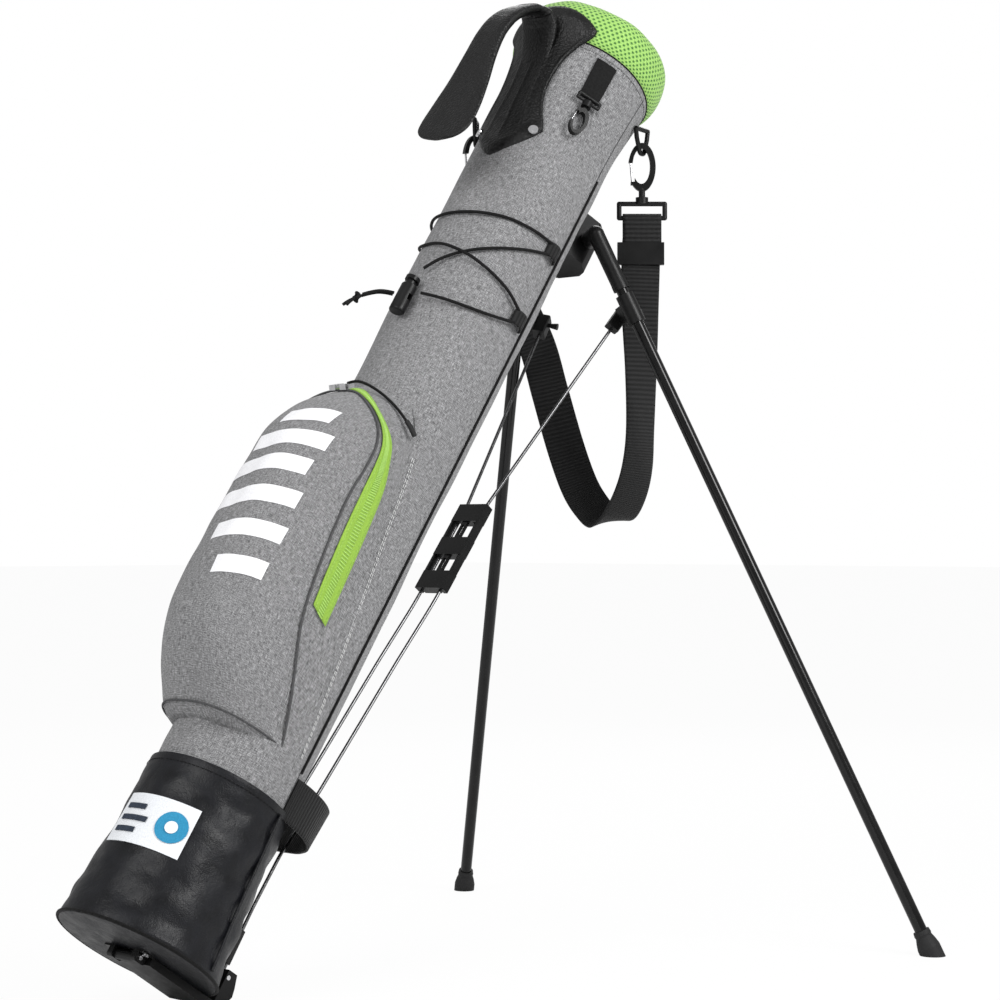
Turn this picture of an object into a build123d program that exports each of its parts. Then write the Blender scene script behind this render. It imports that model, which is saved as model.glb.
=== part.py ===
from build123d import *
import math
import os

# Golf stand bag: a slim padded tube that leans on two folding legs and a toe lever.
# The shared frame has +Z up and +Y from the base towards the legs. Its origin is the middle of the
# lever's toe, where the base meets the ground. Everything on the bag is drawn in the bag's own frame:
# x across, e from the bag's axis towards the legs, and s along the axis from the base to the mouth.

# Driving dimensions, in millimetres and degrees
LEAN = 34.32
BASE_HEIGHT = 48.4
BASE_BACK = -71.0
BAG_LENGTH = 960.0
WALL = 2.4
BOOT_TOP = 150.0
SEAM_ANGLE = 115.0
LEG_LENGTH = 757.0
LEG_RADIUS = 6.0
LEG_PIVOT = (47.4, 63.8, 816.0)
LEG_DEPLOYED = (0.351, 0.7034, -0.618)
BRACKET_ALONG = 80.6
BRACKET_INBOARD = 28.0
ROD_RADIUS = 1.6
ROD_APART = 12.3
LEVER_HINGE = (-8.0, -8.0)
LEVER_PIN = (80.0, 20.0)
CLIP_TOP = (117.0, 531.0)
CLIP_FOOT = (112.0, 433.0)
WEBBING = 38.0
WEB_THICK = 2.2

os.makedirs("parts", exist_ok=True)
bag = Plane(
    origin=(0, BASE_BACK, BASE_HEIGHT),
    x_dir=(1, 0, 0),
    z_dir=(0, math.sin(math.radians(LEAN)), math.cos(math.radians(LEAN))),
)


def save(shape, name):
    """Writes one sub-part, given in the shared frame."""
    solids = shape.solids()
    export_step(Compound(children=solids) if len(solids) > 1 else solids[0], f"parts/{name}.step")


def save_on_bag(shape, name):
    """Writes one sub-part, given in the bag's own frame."""
    save(bag.location * shape, name)


def unit(v):
    size = math.sqrt(sum(c * c for c in v))
    return tuple(c / size for c in v)


def cross(a, b):
    return (
        a[1] * b[2] - a[2] * b[1],
        a[2] * b[0] - a[0] * b[2],
        a[0] * b[1] - a[1] * b[0],
    )


def along(point, direction, distance):
    return tuple(p + distance * d for p, d in zip(point, direction))


def mirrored(shape):
    return shape.mirror(Plane.YZ)


def rod_between(a, b, radius):
    """A round bar from point a to point b."""
    line = Line(a, b)
    return sweep(Plane(origin=a, z_dir=line % 0) * Circle(radius), path=line)


def turned(profile, start=0.0, sweep_angle=360.0):
    """Revolves (radius, s) points about the bag's axis, from the front and towards +x."""
    face = make_face(Polyline(*[(0, -r, s) for r, s in profile], close=True))
    solid = revolve(face, Axis.Z, sweep_angle)
    return Rot(0, 0, start) * solid


def around(radius, angle, s):
    """A point on the bag's side: angle 0 is the front, 90 is +x and 180 is the leg side."""
    a = math.radians(angle)
    return (radius * math.sin(a), -radius * math.cos(a), s)


def tube_radius(s):
    """The outer radius of the fabric tube at distance s along the axis."""
    if s < 860:
        return 61.5 + 2.5 * (s - BOOT_TOP) / (860 - BOOT_TOP)
    return 64.0 + 7.0 * ((s - 860) / 100.0) ** 1.5


def wrapped(radius, thick, angle_from, angle_to, s_from, s_to):
    """A curved plate lying on a cylinder about the bag's axis."""
    profile = [(radius, s_from), (radius + thick, s_from), (radius + thick, s_to), (radius, s_to)]
    return turned(profile, angle_from, angle_to - angle_from)


def tangent_plane(radius, angle, s):
    """A plane touching the bag's side: its Z points outwards and its Y along the bag."""
    a = math.radians(angle)
    out = (math.sin(a), -math.cos(a), 0)
    side = (math.cos(a), math.sin(a), 0)
    return Plane(origin=around(radius, angle, s), x_dir=side, z_dir=out)


# Fabric tube: a front panel and a back panel that meet at two seams
stations = [BOOT_TOP, 300, 450, 600, 750, 860, 885, 910, 935, BAG_LENGTH]
outside = [(tube_radius(s), s) for s in stations]
inside = [(tube_radius(s) - WALL, s) for s in reversed(stations)]
front_panel = turned(outside + inside, -SEAM_ANGLE, 2 * SEAM_ANGLE)
back_panel = turned(outside + inside, SEAM_ANGLE, 360 - 2 * SEAM_ANGLE)
save_on_bag(front_panel, "front_panel")
save_on_bag(back_panel, "back_panel")

# Piping along the two long seams
PIPE_RADIUS = 1.2
PIPE_FOOT = 190.0
piping = []
for side in (-1, 1):
    low = around(tube_radius(PIPE_FOOT) + PIPE_RADIUS + 0.1, side * SEAM_ANGLE, PIPE_FOOT)
    high = around(tube_radius(850) + PIPE_RADIUS + 0.1, side * SEAM_ANGLE, 850)
    piping.append(rod_between(low, high, PIPE_RADIUS))

# Stiffening ring inside the mouth
RING_LOW = 935.0
RING_WALL = 2.0
ring_out = [(tube_radius(s) - WALL, s) for s in (RING_LOW, BAG_LENGTH)]
ring_in = [(r - RING_WALL, s) for r, s in reversed(ring_out)]
save_on_bag(turned(ring_out + ring_in), "mouth_ring")

# Padded mesh collar on the mouth
COLLAR_TOP = 1007.0
collar_profile = [
    (66.2, 960.4),
    (71.5, 960.4),
    (76.0, 969),
    (78.0, 980),
    (77.0, 994),
    (71.0, 1003),
    (62.0, COLLAR_TOP),
    (54.0, 1002),
    (51.5, 990),
    (54.5, 976),
    (60.5, 966),
]
save_on_bag(turned(collar_profile), "mouth_collar")

# Padded bar that divides the mouth in two
DIVIDER_HALF = 5.0
divider = Pos(0, 0, 943) * Box(126, 2 * DIVIDER_HALF, 26)
divider = fillet(divider.edges().filter_by(Axis.X), 4.0)
save_on_bag(divider, "mouth_divider")

# Boot: the leather sleeve round the foot of the tube
boot_out = [(73.0, 0), (71.5, 18), (69.0, 50), (67.0, 90), (65.5, 120), (64.2, BOOT_TOP)]
boot_in = [(r - WALL, s) for r, s in reversed(boot_out)]
save_on_bag(turned(boot_out + boot_in, -107, 214), "boot_front")
save_on_bag(turned(boot_out + boot_in, 107, 146), "boot_back")

# Bottom panel, its piping and the stiff base plate that carries the lever
BASE_RADIUS = 72.5
bottom = Pos(0, 0, -1.2) * Cylinder(BASE_RADIUS, 2.0)
save_on_bag(bottom, "bottom_panel")
rim = revolve(Plane.XZ * Pos(BASE_RADIUS + 1.0, -1.0) * Circle(1.6), Axis.Z)
rim -= Pos(0, 0, -1.2) * Cylinder(BASE_RADIUS, 2.0)
rim -= turned([(60, 0), (80, 0), (80, 10), (60, 10)])
save_on_bag(Compound(children=piping + rim.solids()), "piping")
base_plate = Pos(0, 0, 1.6) * Cylinder(70.0, 3.0)
save_on_bag(base_plate, "base_plate")

# Toe lever: a plate under the base that the ground pushes up. Its toe is cut level with the ground.
PLATE_HALF = 24.0
LEVER_GAP = 0.06
TOE_NEAR = 71.0
TOE_FAR = 90.4


def ground_s(e):
    """Where the ground plane lies along the bag's axis at a distance e from it."""
    return (e * math.sin(math.radians(LEAN)) - BASE_HEIGHT) / math.cos(math.radians(LEAN))


toe_side = [
    (-1.0, -3.4),
    (-1.0, -10.6),
    (70.0, -10.6),
    (TOE_NEAR, ground_s(TOE_NEAR)),
    (TOE_FAR, ground_s(TOE_FAR)),
    (92.5, 8.0),
    (91.0, 15.0),
    (87.0, 26.0),
    (76.8, 26.0),
    (76.8, -3.4),
]
plate = make_face(Plane.YZ * Polyline(*toe_side, close=True))
lever = Pos(-PLATE_HALF, 0, 0) * extrude(plate, 2 * PLATE_HALF, dir=(1, 0, 0))
LEVER_PIN_RADIUS = 2.0
for side in (-1, 1):
    groove = Box(2 * ROD_RADIUS + 4.4, 24, 44)
    lever -= Pos(side * ROD_APART, LEVER_PIN[0] + 2, LEVER_PIN[1] + 15.6) * groove
knuckle = Pos(0, *LEVER_HINGE) * Rot(0, 90, 0) * Cylinder(4.4, 24.0)
lever += knuckle + Pos(0, -4.5, -8.0) * Box(24, 9, 5.0)
LEVER_AXLE_RADIUS = 1.8
axle_bore = Rot(0, 90, 0) * Cylinder(LEVER_AXLE_RADIUS + LEVER_GAP, 80)
lever -= Pos(0, *LEVER_HINGE) * axle_bore
lever -= Pos(0, *LEVER_PIN) * Rot(0, 90, 0) * Cylinder(LEVER_PIN_RADIUS, 80)
save_on_bag(lever, "toe_lever")
rod_pin = Pos(0, *LEVER_PIN) * Rot(0, 90, 0) * Cylinder(LEVER_PIN_RADIUS, 2 * PLATE_HALF)
save_on_bag(rod_pin, "rod_pin")

# Hinge ears of the lever, screwed up into the base plate
ears = []
for side in (-1, 1):
    ear = Pos(side * 15.5, LEVER_HINGE[0], -7.4) * Box(6.4, 13, 10.2)
    ear = fillet(ear.edges().filter_by(Axis.X).sort_by(Axis.Z)[:2], 3.0)
    ear += Pos(side * 21.5, LEVER_HINGE[0], -3.35) * Box(10, 13, 2.1)
    ear -= Pos(0, *LEVER_HINGE) * Rot(0, 90, 0) * Cylinder(LEVER_AXLE_RADIUS, 80)
    ears.append(ear)
save_on_bag(Compound(children=ears), "hinge_ears")
axle = Pos(0, *LEVER_HINGE) * Rot(0, 90, 0) * Cylinder(LEVER_AXLE_RADIUS, 37.4)
save_on_bag(axle, "lever_axle")
screws = []
for side in (-1, 1):
    screws.append(Pos(side * 23.0, LEVER_HINGE[0], -5.3) * Cylinder(2.8, 1.6))

# Lower rods: two spring-steel rods from the lever to the spacer clip
ROD_TOP_INSIDE = 20.0
clip_dir = unit((0, CLIP_TOP[0] - CLIP_FOOT[0], CLIP_TOP[1] - CLIP_FOOT[1]))
rods = []
for side in (-1, 1):
    x = side * ROD_APART
    top = along((x, *CLIP_TOP), clip_dir, -ROD_TOP_INSIDE)
    route = [
        (x, LEVER_PIN[0] + 0.3, LEVER_PIN[1] + 4.0),
        (x, 79.0, 85.0),
        (x, 80.5, 140.0),
        (x, 88.5, 205.0),
        (x, 103.0, 350.0),
        along((x, *CLIP_FOOT), clip_dir, -14),
        top,
    ]
    path = FilletPolyline(*route, radius=[300, 200, 260, 500, 400])
    rod = sweep(Plane(origin=path @ 0, z_dir=path % 0) * Circle(ROD_RADIUS), path=path)
    eye = Pos(x, *LEVER_PIN) * Rot(0, 90, 0) * Cylinder(4.6, 2 * ROD_RADIUS)
    rod += eye
    rod -= Pos(x, *LEVER_PIN) * Rot(0, 90, 0) * Cylinder(LEVER_PIN_RADIUS + LEVER_GAP, 20)
    rods.append(rod)
save_on_bag(Compound(children=rods), "lower_rods")
sleeves = []
for side in (-1, 1):
    foot = (side * ROD_APART, LEVER_PIN[0] + 0.3, LEVER_PIN[1] + 4.0)
    rod_rise = unit((0, 79.0 - foot[1], 85.0 - foot[2]))
    low = along(foot, rod_rise, 8)
    high = along(foot, rod_rise, 39)
    sleeve = rod_between(low, high, 3.2) - rod_between(low, high, ROD_RADIUS + 0.02)
    sleeves.append(sleeve)
save_on_bag(Compound(children=sleeves), "rod_sleeves")

# Spacer clip that holds the rods side by side
clip_plane = Plane(origin=(0, *CLIP_FOOT), x_dir=(1, 0, 0), z_dir=clip_dir)
clip_length = math.dist(CLIP_TOP, CLIP_FOOT)
JAW_LENGTH = 20.0
CLIP_HALF = 18.2
CLIP_DEEP = 9.0
SPINE = 2.6
clip = None
gap = (clip_length - 3 * JAW_LENGTH) / 2
for i in range(3):
    z = JAW_LENGTH / 2 + i * (JAW_LENGTH + gap)
    web = Pos(0, 0, z) * Box(2 * CLIP_HALF, CLIP_DEEP, JAW_LENGTH)
    clip = web if clip is None else clip + web
for x in (-CLIP_HALF + SPINE / 2, CLIP_HALF - SPINE / 2):
    clip += Pos(x, 0, clip_length / 2) * Box(SPINE, CLIP_DEEP - 1, clip_length)
clip += Pos(0, -2.0, clip_length / 2) * Box(7.0, 3.0, clip_length)
for side in (-1, 1):
    x = side * ROD_APART
    bore = Pos(x, 0, clip_length / 2) * Cylinder(ROD_RADIUS, clip_length + 2)
    mouth = Pos(x, CLIP_DEEP / 2, clip_length / 2) * Box(2 * ROD_RADIUS - 0.8, CLIP_DEEP, 200)
    clip -= bore + mouth
    recess = Pos(x, 2.2, clip_length - ROD_TOP_INSIDE / 2 + 2) * Box(6.2, 9.6, ROD_TOP_INSIDE + 4)
    clip -= recess
for z in (JAW_LENGTH + gap / 2, 2 * JAW_LENGTH + 1.5 * gap):
    clip -= Pos(0, -2.0, z) * Box(4.0, 8, gap * 0.6)
clip = clip_plane.location * clip
save_on_bag(clip, "spacer_clip")

# Legs: pivot pin, elbow, tube, foot and bracket, drawn on the right and mirrored to the left
leg_dir = unit(LEG_DEPLOYED)
axis_out = unit(cross((0, 0, -1), leg_dir))
leg_plane = Plane(origin=LEG_PIVOT, x_dir=axis_out, z_dir=leg_dir)
ELBOW_LENGTH = 60.0
HUB_RADIUS = 8.5
HUB_INBOARD = 17.0
PIN_RADIUS = 4.0
PIN_REACH = 38.0
TUBE_START = 40.0
TIP_RADIUS = 11.0
TIP_HEIGHT = 26.0


def leg_parts():
    """The pieces of the right leg in the leg's frame: X outwards along the hinge, Z down the leg."""
    hub = Pos(-(HUB_INBOARD - 4) / 2, 0, 0) * Rot(0, 90, 0) * Cylinder(HUB_RADIUS, HUB_INBOARD + 4)
    hub = fillet(hub.edges().filter_by(GeomType.CIRCLE).sort_by(Axis.X)[-1:], 3.0)
    arm = Pos(0, 0, ELBOW_LENGTH / 2) * Cone(HUB_RADIUS - 0.4, 7.9, ELBOW_LENGTH)
    arm += Pos(0, 0, ELBOW_LENGTH - 3) * Cylinder(8.2, 6)
    elbow = hub + arm + Sphere(HUB_RADIUS - 0.2)
    tube_bore_length = ELBOW_LENGTH - TUBE_START + 1
    elbow -= Pos(0, 0, TUBE_START + tube_bore_length / 2) * Cylinder(LEG_RADIUS, tube_bore_length)
    pin_axis = Pos(-PIN_REACH / 2 - 2, 0, 0) * Rot(0, 90, 0)
    pin = pin_axis * Cylinder(PIN_RADIUS, PIN_REACH - 4)
    elbow -= pin_axis * Cylinder(PIN_RADIUS + LEVER_GAP, PIN_REACH - 3)
    tube_end = LEG_LENGTH - 12
    tube = Pos(0, 0, (TUBE_START + tube_end) / 2) * Cylinder(LEG_RADIUS, tube_end - TUBE_START)
    tube -= Pos(0, 0, (TUBE_START + tube_end) / 2) * Cylinder(LEG_RADIUS - 1.0, tube_end)
    collar = Pos(0, 0, BRACKET_ALONG) * Cylinder(8.8, 30)
    reach = BRACKET_INBOARD - 8.4
    collar += Pos(-reach / 2, 0, BRACKET_ALONG) * Box(reach, 9, 16)
    collar -= Pos(0, 0, BRACKET_ALONG) * Cylinder(LEG_RADIUS, 40)
    return {"elbow": elbow, "pivot_pin": pin, "leg_tube": tube, "leg_bracket": collar}


def foot_tip():
    """The rubber foot in the bag's frame, cut level with the ground."""
    low = LEG_LENGTH - TIP_HEIGHT
    profile = [
        (0, low),
        (7.8, low),
        (8.4, low + 4),
        (7.9, low + 6),
        (9.6, low + 11),
        (TIP_RADIUS, low + 17),
        (TIP_RADIUS, low + 36),
        (0, low + 36),
    ]
    tip = revolve(make_face(Plane.XZ * Polyline(*profile, close=True)), Axis.Z)
    tip -= Cylinder(LEG_RADIUS, 2 * (LEG_LENGTH - 12))
    tip = bag.location * (leg_plane.location * tip)
    return tip - Pos(0, 0, -50) * Box(3000, 3000, 100)


ROD_HINGE = (0.87309, -0.47551, -0.10773)
HINGE_PIN = 2.0
bracket_end = along(along(LEG_PIVOT, leg_dir, BRACKET_ALONG), axis_out, -BRACKET_INBOARD)
pin_ends = [along(bracket_end, ROD_HINGE, reach) for reach in (-5.6, 9.5)]
for name, shape in leg_parts().items():
    placed = leg_plane.location * shape
    if name == "pivot_pin":
        save_on_bag(Compound(children=[placed, mirrored(placed)]), "pivot_pins")
        continue
    if name == "leg_bracket":
        placed += rod_between(*pin_ends, HINGE_PIN)
    save_on_bag(placed, f"{name}_right")
    save_on_bag(mirrored(placed), f"{name}_left")
tip = foot_tip()
save(tip, "foot_tip_right")
save(mirrored(tip), "foot_tip_left")

# Upper rods: from the leg brackets down into the top of the spacer clip
ROD_INSERT = 4.0
rod_foot = along((ROD_APART, *CLIP_TOP), clip_dir, -ROD_INSERT)
rod_dir = unit(tuple(b - a for a, b in zip(bracket_end, rod_foot)))
rod_start = along(bracket_end, rod_dir, 6)
upper_rod = rod_between(rod_start, rod_foot, ROD_RADIUS)
save_on_bag(upper_rod, "upper_rod_right")
save_on_bag(mirrored(upper_rod), "upper_rod_left")
swivel_plane = Plane(origin=bracket_end, x_dir=ROD_HINGE, z_dir=rod_dir)
swivel = Pos(0.8, 0, 3) * Box(12.6, 13, 22)
swivel = fillet(swivel.edges().filter_by(Axis.Z), 2.0)
nub = Pos(-10.0, 0, 0) * Rot(0, 90, 0) * Cone(3.4, 2.0, 10)
swivel += nub
swivel = swivel_plane.location * swivel
swivel -= rod_between(rod_start, along(rod_start, rod_dir, 40), ROD_RADIUS)
bore_ends = [along(bracket_end, ROD_HINGE, reach) for reach in (-6.2, 9.5)]
swivel -= rod_between(*bore_ends, HINGE_PIN + LEVER_GAP)
save_on_bag(swivel, "rod_swivel_right")
save_on_bag(mirrored(swivel), "rod_swivel_left")

# Leg housing on the back of the tube
HOUSING_LOW = 792.0
HOUSING_HIGH = 842.0
housing_outline = [(25.0, 58.0), (30.5, 77.5), (24.0, 90.0), (14.0, 95.0)]
housing_outline += [(-x, e) for x, e in reversed(housing_outline)]
housing = extrude(make_face(Polyline(*housing_outline, close=True)), HOUSING_HIGH - HOUSING_LOW)
housing = Pos(0, 0, HOUSING_LOW) * housing
housing = fillet(housing.edges().filter_by(Axis.Z).sort_by(Axis.Y)[-6:], 4.0)
housing -= Cylinder(64.2, 3000)
bore = leg_plane.location * (Rot(0, 90, 0) * Cylinder(PIN_RADIUS, 2 * PIN_REACH))
bore += leg_plane.location * (Rot(0, 90, 0) * Cylinder(HUB_RADIUS + 1.5, 2 * HUB_INBOARD + 1.0))
housing -= bore
housing -= mirrored(bore)
save_on_bag(housing, "leg_housing")
for s in (HOUSING_LOW + 8, HOUSING_HIGH - 8):
    screws.append(Pos(0, 95.7, s) * Rot(90, 0, 0) * Cylinder(3.6, 1.2))
save_on_bag(Compound(children=screws), "screws")

# Webbing loop that keeps the rods near the boot
KEEPER_LOW = 147.0
keeper_outer = [(56.5, 27.0), (57.0, 42.0), (50.0, 68.0), (36.0, 88.0), (16.0, 98.0)]
keeper_line = keeper_outer + [(-x, e) for x, e in reversed(keeper_outer)]
keeper_inner = [(x * 0.955, e * 0.978) for x, e in reversed(keeper_line)]
keeper = extrude(make_face(Polyline(*keeper_line, *keeper_inner, close=True)), WEBBING)
keeper = Pos(0, 0, KEEPER_LOW) * keeper - Cylinder(64.5, 3000)
save_on_bag(keeper, "rod_keeper")

# Front pocket: a puffed pouch with a zip along its right side
POCKET = [
    (190, 52, 62),
    (203, 59, 80),
    (228, 65, 104),
    (258, 67, 119),
    (300, 67, 125),
    (360, 66, 126),
    (420, 65, 125),
    (458, 63, 121),
    (488, 58, 109),
    (513, 52, 89),
    (533, 46, 68),
    (545, 42, 58),
]
POCKET_POWER = 2.0 / 2.6
POCKET_WALL = 2.5


def pocket_section(s, half_width, depth, inset):
    """A D-shaped outline about the bag's axis at distance s."""
    points = []
    steps = 20
    for i in range(steps + 1):
        t = math.pi * i / steps
        x = (half_width - inset) * math.copysign(abs(math.cos(t)) ** POCKET_POWER, math.cos(t))
        e = -(depth - inset) * math.sin(t) ** POCKET_POWER
        points.append((x, e, s))
    points[0] = (half_width - inset, 20.0, s)
    points[-1] = (inset - half_width, 20.0, s)
    return make_face(Polyline(*points, close=True))


def pocket_body(inset):
    sections = [pocket_section(s, w, d, inset) for s, w, d in POCKET]
    return loft(sections, ruled=True)


tube_core = turned([(0, 100)] + [(tube_radius(s) + 0.2, s) for s in (150, 860)] + [(0, 860)])
pocket_outside = pocket_body(0) - tube_core
pocket_inside = pocket_body(POCKET_WALL)
pocket_inside -= turned([(0, 100)] + [(tube_radius(s) + 1.6, s) for s in (150, 860)] + [(0, 860)])
pocket_inside &= Pos(0, 0, 368) * Box(400, 400, 330)
pocket = pocket_outside - pocket_inside
ZIP_LOW = 312.0
ZIP_HIGH = 470.0
slot = Pos(60, -52, (ZIP_LOW + ZIP_HIGH) / 2) * Rot(0, 0, -26) * Box(40, 22, ZIP_HIGH - ZIP_LOW)
zip_tape = (pocket & slot).solids().sort_by(SortBy.VOLUME)[-1]
pocket -= slot
save_on_bag(pocket, "pocket")
save_on_bag(zip_tape, "zip_tape")

# Zip sliders parked at the top of the pocket, on the arch of the zip
sliders = []
for x in (-7.0, 7.0):
    sliders.append(Pos(x, -84.2, 522.7) * Rot(43.7, 0, 0) * Box(8, 11, 5))
for slider, name in zip(sliders, ("zip_slider_left", "zip_slider_right")):
    save_on_bag(slider, name)

# Label patch on the boot
LABEL_LOW = 66.0
label_profile = [(68.6, LABEL_LOW), (69.4, LABEL_LOW), (67.4, 112), (66.6, 112)]
save_on_bag(turned(label_profile, -17, 66), "label_patch")

# Handle: a moulded plate riveted below the mouth, with a grip tongue curling down from it
HANDLE_ANGLE = 6.0
PLATE_THICK = 3.4
plate_outline = [
    (-35, 806),
    (-36, 838),
    (-27, 870),
    (-22, 905),
    (-26, 935),
    (-40, 958),
]
plate_outline += [(-x, s) for x, s in reversed(plate_outline)]
outline = make_face(Plane.XZ * Polyline(*plate_outline, close=True))
prism = extrude(outline, 120, dir=(0, -1, 0))
shell_out = [(tube_radius(s) + 0.1 + PLATE_THICK, s) for s in (800, 860, 885, 910, 935, 960)]
shell_in = [(r - PLATE_THICK, s) for r, s in reversed(shell_out)]
plate = turned(shell_out + shell_in, -60, 120) & prism
save_on_bag(Rot(0, 0, HANDLE_ANGLE) * plate, "handle_plate")
GRIP = [
    (-78.5, 944, 30, 7),
    (-87.0, 966, 32, 8),
    (-100.0, 966, 34, 10),
    (-117.0, 952, 35, 11),
    (-128.0, 930, 35, 12),
    (-132.0, 905, 36, 12),
    (-131.0, 878, 36, 12),
    (-128.5, 845, 40, 11),
    (-129.0, 812, 40, 10),
    (-130.5, 786, 26, 7),
]


def slab(point, ahead, across, width, thick):
    """A rectangle of the given width and thickness, square to the direction ahead."""
    return make_face(Plane(origin=point, x_dir=across, z_dir=ahead) * Rectangle(width, thick).wire())


grip_sections = []
for i, (e, s, width, thick) in enumerate(GRIP):
    e0, s0 = GRIP[max(i - 1, 0)][:2]
    e1, s1 = GRIP[min(i + 1, len(GRIP) - 1)][:2]
    grip_sections.append(slab((0, e, s), unit((0, e1 - e0, s1 - s0)), (1, 0, 0), width, thick))
grip = loft(grip_sections[::-1], ruled=True)
save_on_bag(Rot(0, 0, HANDLE_ANGLE) * grip, "handle_grip")
rivets = []
for angle in (-23, 36):
    plane = tangent_plane(tube_radius(848) + PLATE_THICK + 0.2, angle, 848)
    rivets.append(plane.location * (Pos(0, 0, 0.7) * Cylinder(4.8, 1.4)))
save_on_bag(Compound(children=rivets), "handle_rivets")

# Side tabs that hold the bungee cord, two on each seam
CORD_RADIUS = 1.5
TAB_ANGLE = 99.0
UPPER_TAB = 749.0
LOWER_TAB = 669.0
tabs = []
for side in (-1, 1):
    for s in (UPPER_TAB, LOWER_TAB):
        r = tube_radius(s)
        low, high = sorted((side * (TAB_ANGLE - 6), side * (TAB_ANGLE + 10)))
        tab = wrapped(r + 0.3, 6.7, low, high, s - 13, s + 13)
        tab -= wrapped(r + 1.3, 4.7, low, high, s - 10.5, s + 10.5)
        tabs.append(tab)
save_on_bag(Compound(children=tabs), "cord_tabs")

# Bungee cord: four strands laced between the tabs and the cord lock, as (angle, distance, lift)
LOCK = (2.0, 640.0)
strands = {
    "bungee_upper": [
        (-96, 754, 1.9),
        (-72, 752, 1.9),
        (-48, 746, 2.5),
        (-24, 742, 2.9),
        (0, 741, 2.3),
        (25, 744, 1.9),
        (50, 749, 1.9),
        (75, 752, 1.9),
        (96, 755, 1.9),
    ],
    "bungee_right": [
        (96, 743, 1.9),
        (76, 730, 1.9),
        (56, 716, 1.9),
        (40, 705, 1.9),
        (26, 695, 1.9),
        (13, 684, 2.3),
        (5, 671, 4.7),
    ],
    "bungee_left": [
        (-96, 743, 1.9),
        (-74, 733, 1.9),
        (-50, 719, 1.9),
        (-26, 708, 1.9),
        (-2, 704, 2.1),
        (14, 700, 5.3),
        (36, 695, 5.3),
        (58, 689, 2.1),
        (78, 683, 1.9),
        (96, 675, 1.9),
    ],
    "bungee_lower": [
        (96, 662, 1.9),
        (80, 653, 1.9),
        (64, 647, 1.9),
        (47, 644, 2.1),
        (30, 643, 2.9),
        (15, 642, 5.3),
    ],
}


def cord_path(points):
    """Straight runs joined by arcs as large as the runs allow."""
    radii = []
    for a, b, c in zip(points, points[1:], points[2:]):
        into = Vector(*b) - Vector(*a)
        out = Vector(*c) - Vector(*b)
        turn = math.radians(into.get_angle(out))
        radii.append(0.45 * min(into.length, out.length) / math.tan(turn / 2))
    return FilletPolyline(*points, radius=radii), radii


def cord(points, radius, name):
    """A cord's tube along its route; prints its length, tightest arc and volume check."""
    path, radii = cord_path(points)
    tube = sweep(Plane(origin=path @ 0, z_dir=path % 0) * Circle(radius), path=path)
    share = tube.volume / (math.pi * radius**2 * path.length)
    print(f"{name}: length {path.length:.1f}, radii {[round(r, 1) for r in radii]}, volume {share:.3f}")
    return tube


bungee = []
for name, strand in strands.items():
    route = [around(tube_radius(s) + CORD_RADIUS + lift, angle, s) for angle, s, lift in strand]
    bungee.append(cord(route, CORD_RADIUS, name))
save_on_bag(Compound(children=bungee), "bungee_cord")

# Cord lock: a barrel with a sprung button on top, and the cord's knotted tail
lock_plane = tangent_plane(tube_radius(LOCK[1]) + 8.4, *LOCK)
barrel = extrude(Ellipse(8.2, 7.0), 30)
barrel = fillet(barrel.edges().group_by(Axis.Z)[0], 2.0)
barrel -= Pos(0, 0, 21) * Cylinder(5.2, 20)
barrel -= Pos(0, 0, 17) * Box(40, 4.2, 6.4)
lock_frame = Plane(origin=lock_plane.origin, x_dir=lock_plane.x_dir, z_dir=(0, 0, 1))
lock_place = lock_frame.location * Pos(0, 0, -22)
save_on_bag(lock_place * barrel, "cord_lock")
BUTTON_TRAVEL = 4.0
button = Pos(0, 0, 25.0) * Cylinder(4.9, 10)
button += Pos(0, 0, 27 + BUTTON_TRAVEL + 6.6) * Cylinder(7.0, 4.0)
button += Pos(0, 0, 33.0) * Cylinder(4.9, 10)
button -= Pos(0, 0, 21.6) * Box(40, 4.6, 2.0)
save_on_bag(lock_place * button, "lock_button")
tail_route = [(-8.5, -76.0, 637.0), (-13.0, -83.0, 634.5), (-17.0, -91.0, 628.0), (-20.0, -98.0, 619.0)]
TAIL_APART = 1.8
tails = []
for i, shift in enumerate((-TAIL_APART, TAIL_APART)):
    route = [(x + shift, e - 0.55 * shift, s) for x, e, s in tail_route]
    tails.append(cord(route, CORD_RADIUS, f"bungee tail {i}"))
knot = Pos(-21.4, -101.5, 614.0) * Sphere(4.6)
knot += rod_between((-21.4, -101.5, 612.0), (-27.0, -107.0, 601.0), 1.6)
knot += rod_between((-21.4, -101.5, 612.0), (-20.0, -108.0, 600.0), 1.6)
save_on_bag(knot + tails[0] + tails[1], "bungee_tail")

# Rings and hooks, drawn in a hanging frame: X across the webbing, Z up, Y through the hook
HOOK_THICK = 6.0
RING_BAR = 2.3
STEM_RADIUS = 3.2
STEM_GAP = 0.05


def d_ring():
    """A D-shaped ring that hangs from its straight bar."""
    points = [(-13, 0, 0), (-11, 0, -9), (-4, 0, -24), (4, 0, -24), (11, 0, -9), (13, 0, 0)]
    path = FilletPolyline(*points, radius=[8, 4.5, 4.5, 8])
    ring = sweep(Plane(origin=path @ 0, z_dir=path % 0) * Circle(RING_BAR), path=path)
    return ring + rod_between((-13, 0, 0), (13, 0, 0), RING_BAR)


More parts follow.
